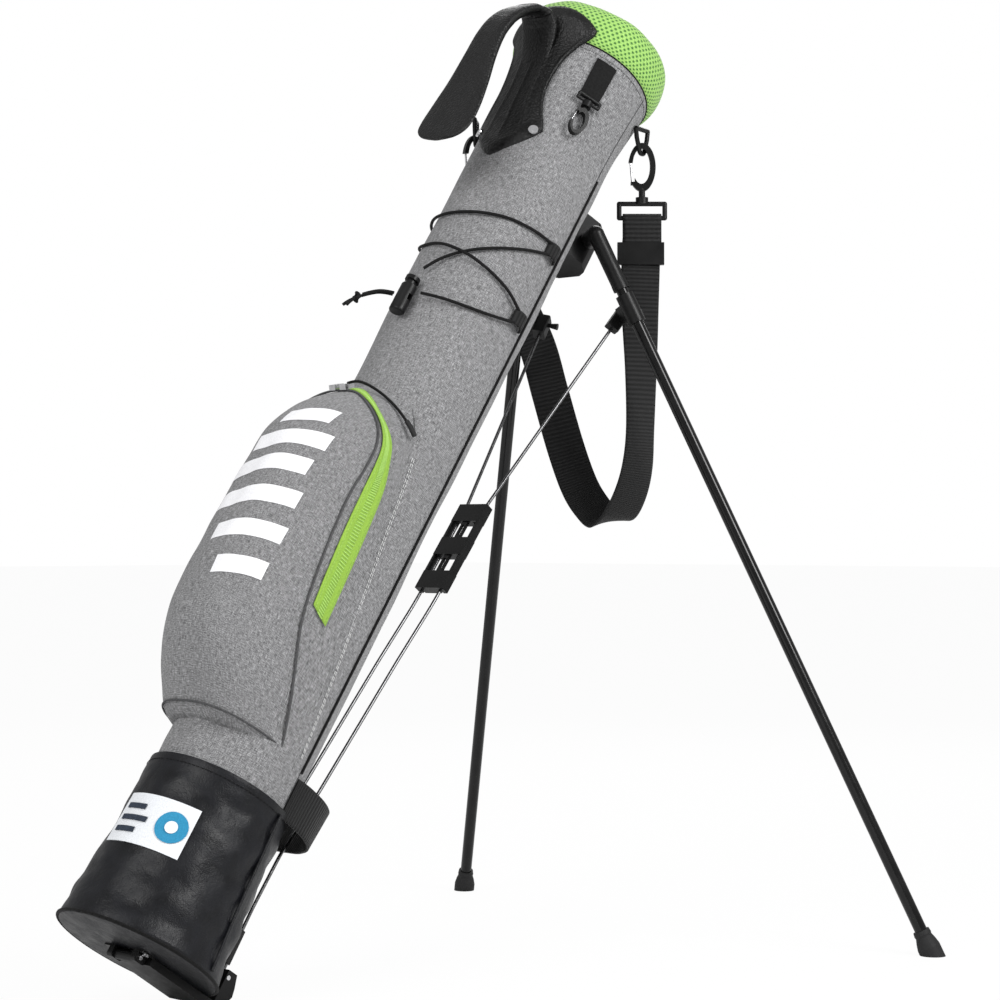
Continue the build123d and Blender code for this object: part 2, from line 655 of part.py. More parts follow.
def snap_hook(scale):
    """The hook's body with its stem, and its sprung wire gate."""
    ring = extrude(Plane.XZ * Ellipse(13.5 * scale, 24.0 * scale), HOOK_THICK / 2, both=True)
    eye = Plane.XZ * (Pos(-0.6 * scale, 1.0) * Ellipse(8.6 * scale, 17.6 * scale))
    ring -= extrude(eye, HOOK_THICK, both=True)
    ring -= Pos(-13 * scale, 0, -5 * scale) * Box(12 * scale, 10, 19 * scale)
    ring += Pos(0, 0, -27.5 * scale) * Cylinder(STEM_RADIUS * scale, 13 * scale)
    low = (-9.8 * scale, 0, -14.5 * scale)
    high = (-11.2 * scale, 0, 4.2 * scale)
    ring += Pos(*low) * Pos(1.2 * scale, 0, -1.6 * scale) * Box(5.0 * scale, HOOK_THICK, 3 * scale)
    gate = rod_between(along(low, (0, 0, 1), 0.3 * scale), high, scale)
    return ring, gate


def hook_frame(half_width, height, bar, stem):
    """The loop that takes the webbing, with the socket of the swivel on top."""
    corners = [
        (0, 0, 0),
        (half_width, 0, 0),
        (half_width, 0, -height),
        (-half_width, 0, -height),
        (-half_width, 0, 0),
    ]
    frame = None
    for a, b in zip(corners, corners[1:] + corners[:1]):
        piece = rod_between(a, b, bar) + Pos(*b) * Sphere(bar)
        frame = piece if frame is None else frame + piece
    frame += Pos(0, 0, 3.0) * Cylinder(stem + 3.0, 6.5)
    return frame - Pos(0, 0, 5.0) * Cylinder(stem + STEM_GAP, 7.2)


def hang(place, parts):
    """Saves hanging pieces at a place given in the shared frame."""
    for name, shape in parts.items():
        save(place * shape, name)


FACE = 44.6
FACE_LEFT = 70.0
RIGHT_RING = (52.5, 503.5, 795.0)
LEFT_RING = (-76.0, 400.0, 806.0)
HOOK_DROP = -37.4
FRAME_DROP = -73.6
FRAME_HALF = 22.5
FRAME_HEIGHT = 14.0
FRAME_BAR = 2.4
for name, ring_place, face in (("right", RIGHT_RING, FACE), ("left", LEFT_RING, FACE_LEFT)):
    place = Pos(*ring_place) * Rot(0, 0, face)
    across = Pos(*ring_place) * Rot(0, 0, face + 60)
    hook, gate = snap_hook(1.0)
    frame = hook_frame(FRAME_HALF, FRAME_HEIGHT, FRAME_BAR, STEM_RADIUS)
    hang(across, {f"ring_{name}": d_ring()})
    hang(place * Pos(0, 0, HOOK_DROP), {f"hook_{name}": hook, f"gate_{name}": gate})
    hang(place * Pos(0, 0, FRAME_DROP), {f"swivel_frame_{name}": frame})

# Shoulder strap: one length of webbing from hook to hook, as (place, width direction)
strap_stations = [
    ((52.5, 503.5, 703.2), (0.71, 0.70, 0)),
    ((52, 502.0, 670), (0.71, 0.70, 0)),
    ((52, 501, 620), (0.50, 0.86, 0)),
    ((52, 502, 560), (0.20, 0.98, 0)),
    ((51, 502, 500), (0.05, 1.0, 0)),
    ((48, 501, 462), (0.15, 0.98, 0)),
    ((40, 499, 434), (0.30, 0.95, 0.05)),
    ((26, 498, 414), (0.45, 0.88, 0.10)),
    ((8, 498, 410), (0.60, 0.80, 0.15)),
    ((-8, 497, 422), (0.66, 0.73, 0.18)),
    ((-25, 496, 444), (0.70, 0.70, 0.18)),
    ((-46, 498, 484), (0.70, 0.70, 0.18)),
    ((-72, 503, 540), (0.70, 0.70, 0.16)),
    ((-91, 503, 590), (0.65, 0.74, 0.10)),
    ((-100, 478, 640), (0.50, 0.85, 0.0)),
    ((-93, 438, 682), (0.45, 0.89, 0.0)),
    ((-77, 402, 709.5), (0.34, 0.94, 0.0)),
]
strap_sections = []
for i, (place, across) in enumerate(strap_stations):
    before = strap_stations[max(i - 1, 0)][0]
    after = strap_stations[min(i + 1, len(strap_stations) - 1)][0]
    ahead = Vector(*after) - Vector(*before)
    width = Vector(*across)
    width -= ahead * (width.dot(ahead) / ahead.dot(ahead))
    strap_sections.append(slab(place, tuple(ahead), tuple(width), WEBBING, WEB_THICK))
strap = loft(strap_sections[::-1], ruled=True)
save(strap, "shoulder_strap")
slider = Box(46, 8.5, 22) - Box(WEBBING + 1.5, 5.0, 30)
save(Pos(52, 502.1, 672) * Rot(0, 0, FACE) * slider, "strap_slider")

# Accessory tab with its small swivel hook on the right of the mouth
TAB_RISE = [(tube_radius(s) + 0.3, s) for s in (906, 910, 935, 950)]
accessory_tab = turned(TAB_RISE + [(r + 1.8, s) for r, s in reversed(TAB_RISE)], 56, 18)
save_on_bag(accessory_tab, "accessory_tab")
small_place = tangent_plane(tube_radius(900) + 5.6, 65, 900).location * Rot(90, 0, 0)
SMALL = 0.62
SMALL_REACH = 23.8
small_hook, small_gate = snap_hook(SMALL)
small_frame = hook_frame(11.5, 5.5, 1.7, STEM_RADIUS * SMALL)
save_on_bag(small_place * small_frame, "accessory_frame")
hook_place = small_place * Pos(0, 0, SMALL_REACH)
save_on_bag(hook_place * small_hook, "accessory_hook")
save_on_bag(hook_place * small_gate, "accessory_gate")
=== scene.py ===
import math
import bpy
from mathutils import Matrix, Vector, noise

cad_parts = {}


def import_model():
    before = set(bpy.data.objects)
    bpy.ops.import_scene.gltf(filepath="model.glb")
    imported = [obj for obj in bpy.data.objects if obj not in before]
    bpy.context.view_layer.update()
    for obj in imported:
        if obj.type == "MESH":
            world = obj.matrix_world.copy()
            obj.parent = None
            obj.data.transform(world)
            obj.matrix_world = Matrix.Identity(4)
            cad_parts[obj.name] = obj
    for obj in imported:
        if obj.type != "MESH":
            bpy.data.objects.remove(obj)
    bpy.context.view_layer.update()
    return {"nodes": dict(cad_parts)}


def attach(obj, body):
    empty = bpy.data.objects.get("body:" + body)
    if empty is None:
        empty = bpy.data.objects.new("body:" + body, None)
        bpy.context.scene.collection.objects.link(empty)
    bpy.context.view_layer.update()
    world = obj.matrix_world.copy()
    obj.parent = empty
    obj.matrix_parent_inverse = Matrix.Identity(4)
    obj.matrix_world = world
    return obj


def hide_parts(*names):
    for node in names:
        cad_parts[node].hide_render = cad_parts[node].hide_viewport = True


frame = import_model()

NODES = frame["nodes"]

# The bag's own frame: x across, e towards the legs, s along the bag from base to mouth, in millimetres
LEAN = math.radians(34.32)
SIN, COS = math.sin(LEAN), math.cos(LEAN)


def world(p):
    x, e, s = p
    return Vector((x, -71 + COS * e + SIN * s, 48.4 - SIN * e + COS * s)) / 1000


def around(r, angle, s):
    a = math.radians(angle)
    return (r * math.sin(a), -r * math.cos(a), s)


def tube_radius(s):
    if s < 860:
        return 61.5 + 2.5 * (s - 150) / 710
    return 64.0 + 7.0 * ((s - 860) / 100.0) ** 1.5


def smooth(table, s):
    """Reads the columns of a table at s, smoothly between its rows."""
    rows = table
    s = min(max(s, rows[0][0]), rows[-1][0])
    i = max(k for k in range(len(rows) - 1) if rows[k][0] <= s or k == 0)
    a, b = rows[i], rows[i + 1]
    p, q = rows[max(i - 1, 0)], rows[min(i + 2, len(rows) - 1)]
    h = b[0] - a[0]
    t = (s - a[0]) / h
    out = []
    for c in range(1, len(a)):
        m0 = h * (b[c] - p[c]) / max(b[0] - p[0], 1e-6)
        m1 = h * (q[c] - a[c]) / max(q[0] - a[0], 1e-6)
        out.append(
            (2 * t**3 - 3 * t**2 + 1) * a[c] + (t**3 - 2 * t**2 + t) * m0
            + (3 * t**2 - 2 * t**3) * b[c] + (t**3 - t**2) * m1
        )
    return out


def near_rows(rows, v, closed=False):
    """The four rows round v, from 0 to 1 along the list, and how far v lies between the middle two."""
    n = len(rows)
    k = v * (n if closed else n - 1)
    if closed:
        i = int(math.floor(k)) % n
        return [rows[(i + j) % n] for j in (-1, 0, 1, 2)], k - math.floor(k)
    i = min(int(k), n - 2)
    return [rows[min(max(i + j, 0), n - 1)] for j in (-1, 0, 1, 2)], k - i


def spline(rows, v, closed=False):
    """Reads every column of the rows at v, on a smooth curve through them."""
    near, t = near_rows(rows, v, closed)
    return [
        0.5 * (2 * b + (c - a) * t + (2 * a - 5 * b + 4 * c - d) * t * t + (3 * b - a - 3 * c + d) * t**3)
        for a, b, c, d in zip(*near)
    ]


# Camera
def add_camera():
    cam = bpy.data.objects.new("camera", bpy.data.cameras.new("camera"))
    bpy.context.collection.objects.link(cam)
    cam.location = (1.6734, -1.3407, 0.3891)
    yaw, pitch = math.radians(44.585), math.radians(1.748)
    ahead = Vector((-math.sin(yaw) * math.cos(pitch), math.cos(yaw) * math.cos(pitch), math.sin(pitch)))
    cam.rotation_euler = ahead.to_track_quat("-Z", "Y").to_euler()
    cam.data.lens = 89.69
    cam.data.sensor_width = 36
    cam.data.shift_y = -0.0354
    bpy.context.scene.camera = cam


add_camera()


# Materials
def link(tree, a, b):
    tree.links.new(a, b)


def material(name, color, rough, metal=0.0, coat=0.0, sheen=0.0, spec=0.5):
    m = bpy.data.materials.new(name)
    m.use_nodes = True
    b = m.node_tree.nodes["Principled BSDF"]
    b.inputs["Base Color"].default_value = (*color, 1)
    b.inputs["Roughness"].default_value = rough
    b.inputs["Metallic"].default_value = metal
    b.inputs["Coat Weight"].default_value = coat
    b.inputs["Coat Roughness"].default_value = 0.08
    b.inputs["Sheen Weight"].default_value = sheen
    b.inputs["Specular IOR Level"].default_value = spec
    return m, m.node_tree, b


def node(tree, kind, **values):
    n = tree.nodes.new(kind)
    for k, v in values.items():
        if hasattr(n, k):
            setattr(n, k, v)
        else:
            n.inputs[k.replace("_", " ")].default_value = v
    return n


def coords(tree, scale, kind="Object"):
    c = node(tree, "ShaderNodeTexCoord")
    m = node(tree, "ShaderNodeMapping")
    m.inputs["Scale"].default_value = scale
    link(tree, c.outputs[kind], m.inputs["Vector"])
    return m.outputs["Vector"]


def noise_tex(tree, vector, scale=1.0, detail=3.0, rough=0.6):
    n = node(tree, "ShaderNodeTexNoise")
    n.inputs["Scale"].default_value = scale
    n.inputs["Detail"].default_value = detail
    n.inputs["Roughness"].default_value = rough
    link(tree, vector, n.inputs["Vector"])
    return n.outputs["Fac"]


def ramp(tree, value, stops):
    r = node(tree, "ShaderNodeValToRGB")
    e = r.color_ramp.elements
    while len(e) < len(stops):
        e.new(0.5)
    for el, (pos, col) in zip(e, stops):
        el.position = pos
        el.color = (*col, 1) if len(col) == 3 else col
    link(tree, value, r.inputs["Fac"])
    return r.outputs["Color"]


def math_node(tree, op, a, b=None, clamp=False):
    n = node(tree, "ShaderNodeMath")
    n.operation = op
    n.use_clamp = clamp
    for i, v in enumerate((a, b)):
        if v is None:
            continue
        if isinstance(v, (int, float)):
            n.inputs[i].default_value = v
        else:
            link(tree, v, n.inputs[i])
    return n.outputs[0]


def bump(tree, shader, height, distance, strength=1.0, before=None):
    n = node(tree, "ShaderNodeBump")
    n.inputs["Strength"].default_value = strength
    n.inputs["Distance"].default_value = distance
    link(tree, height, n.inputs["Height"])
    if before is not None:
        link(tree, before, n.inputs["Normal"])
    link(tree, n.outputs["Normal"], shader.inputs["Normal"])
    return n.outputs["Normal"]


def grey(v):
    return (v, v, v * 1.02)


def wave(tree, vector, scale, direction):
    w = node(tree, "ShaderNodeTexWave")
    w.bands_direction = direction
    w.inputs["Scale"].default_value = scale
    w.inputs["Distortion"].default_value = 0.0
    link(tree, vector, w.inputs["Vector"])
    return w.outputs["Fac"]


def melange():
    m, t, b = material("melange_weave", grey(0.2), 0.85, sheen=0.15, spec=0.2)
    along = noise_tex(t, coords(t, (1400, 170, 1), "UV"), 1, 2, 0.6)
    across = noise_tex(t, coords(t, (200, 1400, 1), "UV"), 1, 2, 0.6)
    broad = noise_tex(t, coords(t, (30, 30, 1), "UV"), 1, 3, 0.6)
    mixed = math_node(t, "ADD", math_node(t, "MULTIPLY", along, 0.5), math_node(t, "MULTIPLY", across, 0.5))
    mixed = math_node(t, "ADD", mixed, math_node(t, "MULTIPLY", broad, 0.03))
    color = ramp(t, mixed, [(0.36, grey(0.06)), (0.47, grey(0.15)), (0.56, grey(0.25)), (0.68, grey(0.42))])
    link(t, color, b.inputs["Base Color"])
    uv = coords(t, (1, 1, 1), "UV")
    weave = math_node(t, "ADD", wave(t, uv, 190, "X"), wave(t, uv, 190, "Y"))
    bump(t, b, math_node(t, "ADD", weave, mixed), 0.00035, 0.6)
    return m


def lime_mesh():
    m, t, b = material("lime_mesh", (0.32, 0.62, 0.12), 0.7, sheen=0.15, spec=0.2)
    c = node(t, "ShaderNodeTexCoord")
    split = node(t, "ShaderNodeSeparateXYZ")
    link(t, c.outputs["UV"], split.inputs[0])
    pitch_u, pitch_v = 5.0e-3, 3.3e-3
    row = math_node(t, "DIVIDE", split.outputs["Y"], pitch_v)
    odd = math_node(t, "MULTIPLY", math_node(t, "MODULO", math_node(t, "FLOOR", row), 2.0), 0.5)
    col = math_node(t, "ADD", math_node(t, "DIVIDE", split.outputs["X"], pitch_u), odd)
    du = math_node(t, "MULTIPLY", math_node(t, "SUBTRACT", math_node(t, "FRACT", col), 0.5), 1.5)
    dv = math_node(t, "SUBTRACT", math_node(t, "FRACT", row), 0.5)
    squares = math_node(t, "ADD", math_node(t, "MULTIPLY", du, du), math_node(t, "MULTIPLY", dv, dv))
    dist = math_node(t, "SQRT", squares)
    # Dark green at the hole centres is painted shade inside the mesh's openings; the lime round them is the
    # mesh's own colour.
    color = ramp(t, dist, [
        (0.0, (0.04, 0.13, 0.03)), (0.25, (0.06, 0.18, 0.04)),
        (0.38, (0.25, 0.46, 0.10)), (1.0, (0.33, 0.57, 0.16)),
    ])
    link(t, color, b.inputs["Base Color"])
    hole = ramp(t, dist, [(0.0, (0, 0, 0)), (0.22, (0.1, 0.1, 0.1)), (0.42, (1, 1, 1))])
    bump(t, b, hole, 0.0009, 0.8)
    return m


def leather():
    m, t, b = material("leather_black", grey(0.006), 0.42, spec=0.22)
    o = coords(t, (1, 1, 1))
    v = node(t, "ShaderNodeTexVoronoi")
    v.inputs["Scale"].default_value = 900
    link(t, o, v.inputs["Vector"])
    fold = noise_tex(t, o, 55, 5, 0.62)
    first = bump(t, b, v.outputs["Distance"], 0.0003, 0.35)
    bump(t, b, fold, 0.0022, 0.5, first)
    link(t, ramp(t, fold, [(0.3, grey(0.30)), (0.7, grey(0.52))]), b.inputs["Roughness"])
    tone = ramp(t, fold, [(0.3, (0.003, 0.0032, 0.004)), (0.7, (0.006, 0.0065, 0.009))])
    link(t, tone, b.inputs["Base Color"])
    return m


def pebbled():
    m, t, b = material("grip_pebbled", grey(0.005), 0.42, spec=0.3)
    o = coords(t, (1, 1, 1))
    v = node(t, "ShaderNodeTexVoronoi")
    v.inputs["Scale"].default_value = 430
    link(t, o, v.inputs["Vector"])
    link(t, ramp(t, v.outputs["Distance"], [(0.1, grey(0.007)), (0.8, grey(0.002))]), b.inputs["Base Color"])
    link(t, ramp(t, noise_tex(t, o, 90), [(0.3, grey(0.34)), (0.7, grey(0.55))]), b.inputs["Roughness"])
    bump(t, b, v.outputs["Distance"], -0.0007, 0.8)
    return m


def webbing():
    m, t, b = material("webbing_black", grey(0.008), 0.6, sheen=0.05, spec=0.2)
    uv = coords(t, (1, 1, 1), "UV")
    ribs = wave(t, uv, 95, "Y")
    fine = wave(t, uv, 260, "X")
    link(t, ramp(t, ribs, [(0.1, grey(0.003)), (0.9, grey(0.014))]), b.inputs["Base Color"])
    bump(t, b, math_node(t, "ADD", ribs, math_node(t, "MULTIPLY", fine, 0.5)), 0.0006, 0.8)
    return m


def woven_black(name="woven_black", scale=500.0, tone=0.005, color=None, dark=0.55, light=1.35):
    m, t, b = material(name, color or grey(tone), 0.75, sheen=0.03, spec=0.15)
    o = coords(t, (scale, scale, scale))
    n = noise_tex(t, o, 1, 2)
    base = color or grey(tone)
    low = tuple(c * dark for c in base)
    high = tuple(min(1, c * light) for c in base)
    link(t, ramp(t, n, [(0.35, low), (0.65, high)]), b.inputs["Base Color"])
    bump(t, b, n, 0.0003, 0.6)
    return m


def plastic(name, tone=0.005, rough=0.34, grain=700.0, depth=0.00012):
    m, t, b = material(name, grey(tone), rough, spec=0.22)
    o = coords(t, (1, 1, 1))
    n = noise_tex(t, o, grain, 2)
    smear = noise_tex(t, o, 35, 4)
    link(t, ramp(t, smear, [(0.3, grey(rough - 0.06)), (0.7, grey(rough + 0.1))]), b.inputs["Roughness"])
    link(t, ramp(t, smear, [(0.3, grey(tone * 0.8)), (0.7, grey(tone * 1.25))]), b.inputs["Base Color"])
    bump(t, b, n, depth, 0.5)
    return m


def steel(name="steel", rough=0.22, tone=0.62):
    m, t, b = material(name, grey(tone), rough, metal=1.0)
    o = coords(t, (1, 1, 1))
    n = noise_tex(t, o, 240, 3)
    link(t, ramp(t, n, [(0.3, grey(rough - 0.06)), (0.7, grey(rough + 0.12))]), b.inputs["Roughness"])
    link(t, ramp(t, n, [(0.3, grey(tone * 0.85)), (0.7, grey(tone * 1.1))]), b.inputs["Base Color"])
    bump(t, b, n, 0.00006, 0.3)
    return m


def gloss_tube():
    m, t, b = material("tube_gloss_black", grey(0.003), 0.16, coat=0.12, spec=0.25)
    o = coords(t, (1, 1, 1))
    n = noise_tex(t, o, 60, 4)
    link(t, ramp(t, n, [(0.35, grey(0.12)), (0.7, grey(0.24))]), b.inputs["Roughness"])
    link(t, ramp(t, n, [(0.35, grey(0.002)), (0.7, grey(0.005))]), b.inputs["Base Color"])
    bump(t, b, noise_tex(t, o, 500, 2), 0.00005, 0.2)
    return m


MELANGE, LIME, LEATHER, PEBBLED, WEB = melange(), lime_mesh(), leather(), pebbled(), webbing()
WOVEN = woven_black()
CORD = woven_black("cord_braid", 1400.0, 0.006)
ZIP = woven_black("zip_lime", 900.0, color=(0.25, 0.42, 0.06), dark=0.85, light=1.1)
ZIP_COIL = woven_black("zip_coil", 1600.0, color=(0.34, 0.55, 0.13), dark=0.8, light=1.15)
PLASTIC = plastic("plastic_satin")
RUBBER = plastic("rubber_matte", 0.014, 0.6, 420.0, 0.0003)
STEEL = steel()
NICKEL = steel("nickel", 0.16, 0.72)
ROD = steel("rod_steel", 0.2, 0.14)
TUBE = gloss_tube()
PRINT = woven_black("print_white", 700.0, color=(0.80, 0.80, 0.82), dark=0.93, light=1.04)
LABEL = woven_black("label_white", 1100.0, color=(0.74, 0.76, 0.79), dark=0.88, light=1.05)
LABEL_BLUE = woven_black("label_blue", 1100.0, color=(0.03, 0.24, 0.42), dark=0.85, light=1.1)
LABEL_DARK = woven_black("label_dark", 1100.0, color=(0.03, 0.04, 0.06))
THREAD = woven_black("thread_white", 1200.0, color=(0.62, 0.62, 0.62), dark=0.85, light=1.1)
GREY_THREAD = woven_black("thread_grey", 1200.0, color=(0.07, 0.07, 0.072))

SKIN = {
    "piping": WOVEN, "mouth_ring": PLASTIC, "mouth_divider": WOVEN, "base_plate": PLASTIC,
    "hinge_ears": PLASTIC, "lever_axle": STEEL, "screws": STEEL, "pivot_pins": STEEL,
    "leg_housing": PLASTIC, "label_patch": LABEL, "handle_rivets": NICKEL,
    "bungee_cord": CORD, "cord_lock": PLASTIC, "lock_button": PLASTIC, "ring_right": PLASTIC,
    "ring_left": PLASTIC, "hook_right": PLASTIC, "hook_left": PLASTIC, "gate_right": NICKEL,
    "gate_left": NICKEL, "swivel_frame_right": PLASTIC, "swivel_frame_left": PLASTIC,
    "strap_slider": PLASTIC, "accessory_tab": WOVEN, "accessory_frame": PLASTIC,
    "accessory_hook": PLASTIC, "accessory_gate": NICKEL, "toe_lever": PLASTIC, "rod_pin": STEEL,
    "lower_rods": ROD, "rod_sleeves": RUBBER, "spacer_clip": PLASTIC, "zip_slider_left": NICKEL,
    "zip_slider_right": NICKEL,
}
for hand in ("right", "left"):
    SKIN.update({
        f"elbow_{hand}": PLASTIC, f"leg_tube_{hand}": TUBE, f"leg_bracket_{hand}": PLASTIC,
        f"foot_tip_{hand}": RUBBER, f"upper_rod_{hand}": ROD, f"rod_swivel_{hand}": PLASTIC,
    })
for name, skin in SKIN.items():
    mesh = NODES[name].data
    if len(mesh.materials) == 0:
        mesh.materials.append(skin)
    for i in range(len(mesh.materials)):
        mesh.materials[i] = skin


# Mesh helpers
def mesh_piece(name, points, faces, skin, body="bag", uvs=None):
    mesh = bpy.data.meshes.new(name)
    mesh.from_pydata([tuple(p) for p in points], [], faces)
    mesh.update()
    if uvs:
        layer = mesh.uv_layers.new(name="UVMap")
        flat = [uv for face_uv in uvs for uv in face_uv]
        for slot, uv in zip(layer.data, flat):
            slot.uv = uv
    mesh.polygons.foreach_set("use_smooth", [True] * len(mesh.polygons))
    obj = bpy.data.objects.new(name, mesh)
    bpy.context.collection.objects.link(obj)
    mesh.materials.append(skin)
    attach(obj, body)
    return obj


def surface(name, fn, nu, nv, skin, size, wrap=False, body="bag", shared=False, ends=False):
    """A grid skin of fn(u, v), in the bag's frame or the shared frame, with UVs in metres."""
    cols = nu if wrap else nu + 1
    points = []
    for j in range(nv + 1):
        for i in range(cols):
            p = fn(i / nu, j / nv)
            points.append(Vector(p) if shared else world(p))
    faces, uvs = [], []
    for j in range(nv):
        for i in range(nu):
            k = (i + 1) % cols if wrap else i + 1
            faces.append((j * cols + i, j * cols + k, (j + 1) * cols + k, (j + 1) * cols + i))
            a, b = i / nu * size[0], (i + 1) / nu * size[0]
            c, d = j / nv * size[1], (j + 1) / nv * size[1]
            uvs.append(((a, c), (b, c), (b, d), (a, d)))
    if ends:
        for row in (0, nv):
            ring = [row * cols + i for i in range(cols)]
            ring = ring[::-1] if row == 0 else ring
            faces.append(tuple(ring))
            uvs.append(tuple((0.0, 0.0) for _ in ring))
    return mesh_piece(name, points, faces, skin, body, uvs)


def thicken(obj, thick, offset=-1.0):
    m = obj.modifiers.new("thick", "SOLIDIFY")
    m.thickness = thick / 1000
    m.offset = offset
    return obj


def subdivide(obj, levels=1):
    m = obj.modifiers.new("subdivide", "SUBSURF")
    m.levels = levels
    m.render_levels = levels
    return obj


def line(name, points, radius, skin, body="bag", shared=False, nurbs=False):
    """A round cord through or along the given points, radius in millimetres."""
    curve = bpy.data.curves.new(name, "CURVE")
    curve.dimensions = "3D"
    sp = curve.splines.new("NURBS" if nurbs else "POLY")
    sp.points.add(len(points) - 1)
    for slot, p in zip(sp.points, points):
        slot.co = (*(Vector(p) if shared else world(p)), 1)
    if nurbs:
        sp.order_u = 3
        sp.use_endpoint_u = True
    curve.bevel_depth = radius / 1000
    curve.bevel_resolution = 4
    curve.use_fill_caps = True
    obj = bpy.data.objects.new(name, curve)
    bpy.context.collection.objects.link(obj)
    curve.materials.append(skin)
    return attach(obj, body)


def stitches(name, path, length, gap, radius, skin=None):
    """Short thread dashes laid along a path of close points in the bag's frame."""
    pts = [world(p) for p in path]
    points, faces = [], []
    travelled, start = 0.0, None
    for a, b in zip(pts, pts[1:]):
        step = (b - a).length * 1000
        phase = travelled % (length + gap)
        if phase < length:
            if start is None:
                start = a
        elif start is not None:
            add_dash(points, faces, start, a, radius / 1000)
            start = None
        travelled += step
    return mesh_piece(name, points, faces, skin or THREAD)


def add_dash(points, faces, a, b, r):
    d = (b - a)
    if d.length < 1e-5:
        return
    d.normalize()
    side = d.orthogonal().normalized()
    up = d.cross(side)
    k = len(points)
    for where, shrink in ((a - d * r, 0.3), (a, 1.0), (b, 1.0), (b + d * r, 0.3)):
        for j in range(6):
            ang = math.pi * j / 3
            points.append(where + (side * math.cos(ang) + up * math.sin(ang)) * r * shrink)
    for ring in range(3):
        for j in range(6):
            n = (j + 1) % 6
            faces.append((k + ring * 6 + j, k + ring * 6 + n, k + ring * 6 + 6 + n, k + ring * 6 + 6 + j))
    faces.append(tuple(k + j for j in range(5, -1, -1)))
    faces.append(tuple(k + 18 + j for j in range(6)))


def dense(fn, count):
    return [fn(i / count) for i in range(count + 1)]


# Cords: the free tail of the bungee, as control points in metres in the shared frame
TAIL = [(-8.5, -76.0, 637.0), (-13.0, -83.0, 634.5), (-17.0, -91.0, 628.0), (-20.0, -98.0, 619.0)]
for hand, shift in (("a", -1.8), ("b", 1.8)):
    route = [(x + shift, e - 0.55 * shift, s) for x, e, s in TAIL]
    line(f"bungee_tail_{hand}", route, 1.5, CORD, nurbs=True)


def knot_point(u, v):
    a, b = 2 * math.pi * u, 2 * math.pi * v
    centre = Vector((-21.4, -101.5, 614.0))
    ring = Vector((math.cos(b) * 2.6, math.sin(b) * 2.2 * math.cos(2 * b), math.sin(b) * 3.0))
    d = Vector((math.cos(b), 0.2, math.sin(b))).normalized()
    return tuple(centre + ring + d * 1.9 * math.cos(a) + Vector((0, 1, 0)) * 1.9 * math.sin(a))


knot = surface("tail_knot", knot_point, 12, 32, CORD, (0.01, 0.02), wrap=True)
for k, tip in enumerate(((-27.0, -107.0, 601.0), (-20.0, -108.0, 600.0))):
    mid = ((tip[0] - 21.4) / 2 + 0.6, (tip[1] - 101.5) / 2 - 1.2, 608.0)
    line(f"tail_end_{k}", [(-21.4, -101.5, 613.0), mid, tip], 1.5, CORD, nurbs=True)
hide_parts("bungee_tail")


# Fabric tube
def soft(angle, s):
    """Small dents and folds of the stretched fabric, in millimetres."""
    a = math.radians(angle)
    seam = 1 - math.exp(-(((abs(angle) - 115) / 7) ** 2))
    ends_in = max(0.0, min(1.0, (958 - s) / 60, (s - 150) / 20))
    broad = noise.noise(Vector((1.7 * math.sin(a), 1.7 * math.cos(a), s / 85)))
    fine = noise.noise(Vector((4.0 * math.sin(a) + 5, 4.0 * math.cos(a), s / 60 + 0.9 * a)))
    pull = 0.0
    for low, high in ((749, 97), (749, -97), (668, 97), (668, -97), (741, 10), (690, 26)):
        near = math.exp(-(((s - low) / 26) ** 2) - ((angle - high) / 34) ** 2)
        pull += near * (0.55 * math.sin((s - low) / 5.5 + a * 3) - 0.5)
    return seam * ends_in * min(0.7, 1.9 * broad + 0.9 * fine - 0.5 + pull)


def tube_point(u, v):
    angle = 360 * u - 180
    s = 149 + 812.5 * v
    return around(tube_radius(s) + soft(angle, s), angle, s)


tube = thicken(surface("tube_fabric", tube_point, 180, 260, MELANGE, (0.395, 0.812), wrap=True), 2.2, -1.0)
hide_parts("front_panel", "back_panel")


# Collar of padded mesh
COLLAR = [
    (66.4, 959.5), (70.5, 960.0), (74.8, 965.0), (77.6, 974.0), (78.6, 985.0), (77.0, 996.0),
    (72.0, 1004.5), (65.0, 1008.5), (58.0, 1007.0), (53.2, 1000.5), (51.8, 990.0), (53.4, 978.0),
    (57.5, 968.0), (62.0, 961.5),
]


def collar_point(u, v):
    r, s = spline(COLLAR, v, closed=True)
    angle = 360 * u
    a = math.radians(angle)
    lump = noise.noise(Vector((2.2 * math.sin(a), 2.2 * math.cos(a), s / 40)))
    fat = max(0.0, (s - 962) / 46)
    return around(r + 1.6 * lump * fat, angle, s + 2.0 * lump * fat)


collar = surface("collar_mesh", collar_point, 160, 70, LIME, (0.42, 0.145), wrap=True)
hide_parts("mouth_collar")
for hand in (-1, 1):
    seam = dense(lambda u: around(tube_radius(160 + 796 * u) + 0.15, 115 * hand, 160 + 796 * u), 90)
    line(f"side_seam_{'left' if hand < 0 else 'right'}", seam, 0.5, GREY_THREAD)
line("collar_seam", dense(lambda u: around(71.3, 360 * u, 960.2), 120), 0.7, WOVEN)
mouth_hem = dense(lambda u: around(tube_radius(954) + 0.3, 360 * u, 954.0), 1400)
stitches("mouth_stitches", mouth_hem, 2.6, 1.2, 0.25, GREY_THREAD)


# Leather boot
BOOT = [
    (60.0, 153.2), (64.8, 153.4), (65.6, 151.5), (65.4, 143.0), (66.0, 120.0), (67.4, 90.0),
    (69.3, 55.0), (71.4, 24.0), (73.0, 6.0), (73.2, 1.0), (72.4, -1.6), (69.0, -2.6),
    (45.0, -3.2), (12.0, -2.9), (0.6, -2.8),
]


